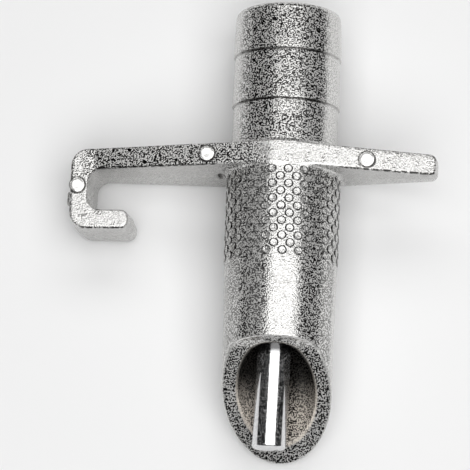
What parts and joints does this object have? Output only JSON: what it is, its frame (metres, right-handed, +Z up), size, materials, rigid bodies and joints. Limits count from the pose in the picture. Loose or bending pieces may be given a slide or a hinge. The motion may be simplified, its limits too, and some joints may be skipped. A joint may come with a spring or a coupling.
{
  "type": "bleed key",
  "caption": "Cast bleed key: ribbed hose tail, hooked arm and straight arm, pimpled barrel, and a spring-held polished pin valve in a slanted mouth.",
  "frame": {"origin": "centre of the footprint, on the surface that the key lies on", "axes": "+Y along the barrel to the hose tail, +X towards the straight arm, +Z up, away from the surface; the key lies rolled about Y onto its hook"},
  "size_m": [0.0466, 0.0566, 0.0144],
  "materials": {
    "casting": "as cast, fine sandy grain",
    "polished_steel": "polished",
    "spring_steel": "drawn",
    "mesh_steel": "woven",
    "rubber": "matt",
    "plastic": "moulded"
  },
  "bodies": {
    "body": {"cast_body": "casting", "seat_ring": "rubber", "spring_bush": "plastic", "strainer_frame": "plastic", "strainer_mesh": "mesh_steel", "retaining_ring": "spring_steel", "valve_spring": "spring_steel"},
    "lift": {"spring_cup": "plastic"},
    "pin": {"valve_pin": "polished_steel"}
  },
  "joints": [
    {"name": "valve_lift", "type": "slide", "parent": "body", "child": "lift", "axis": [0, 1, 0], "range_m": [0, 0.0012], "stiffness_N_per_m": 400, "springref_m": -0.002, "deforming": ["valve_spring"]},
    {"name": "pin_tilt", "type": "hinge", "parent": "lift", "child": "pin", "pos_m": [0.00395, 0.00664, 0.00722], "axis": [0.9921, 0, 0.1254], "range_deg": [-4, 4], "stiffness_Nm_per_rad": 0.15}
  ]
}
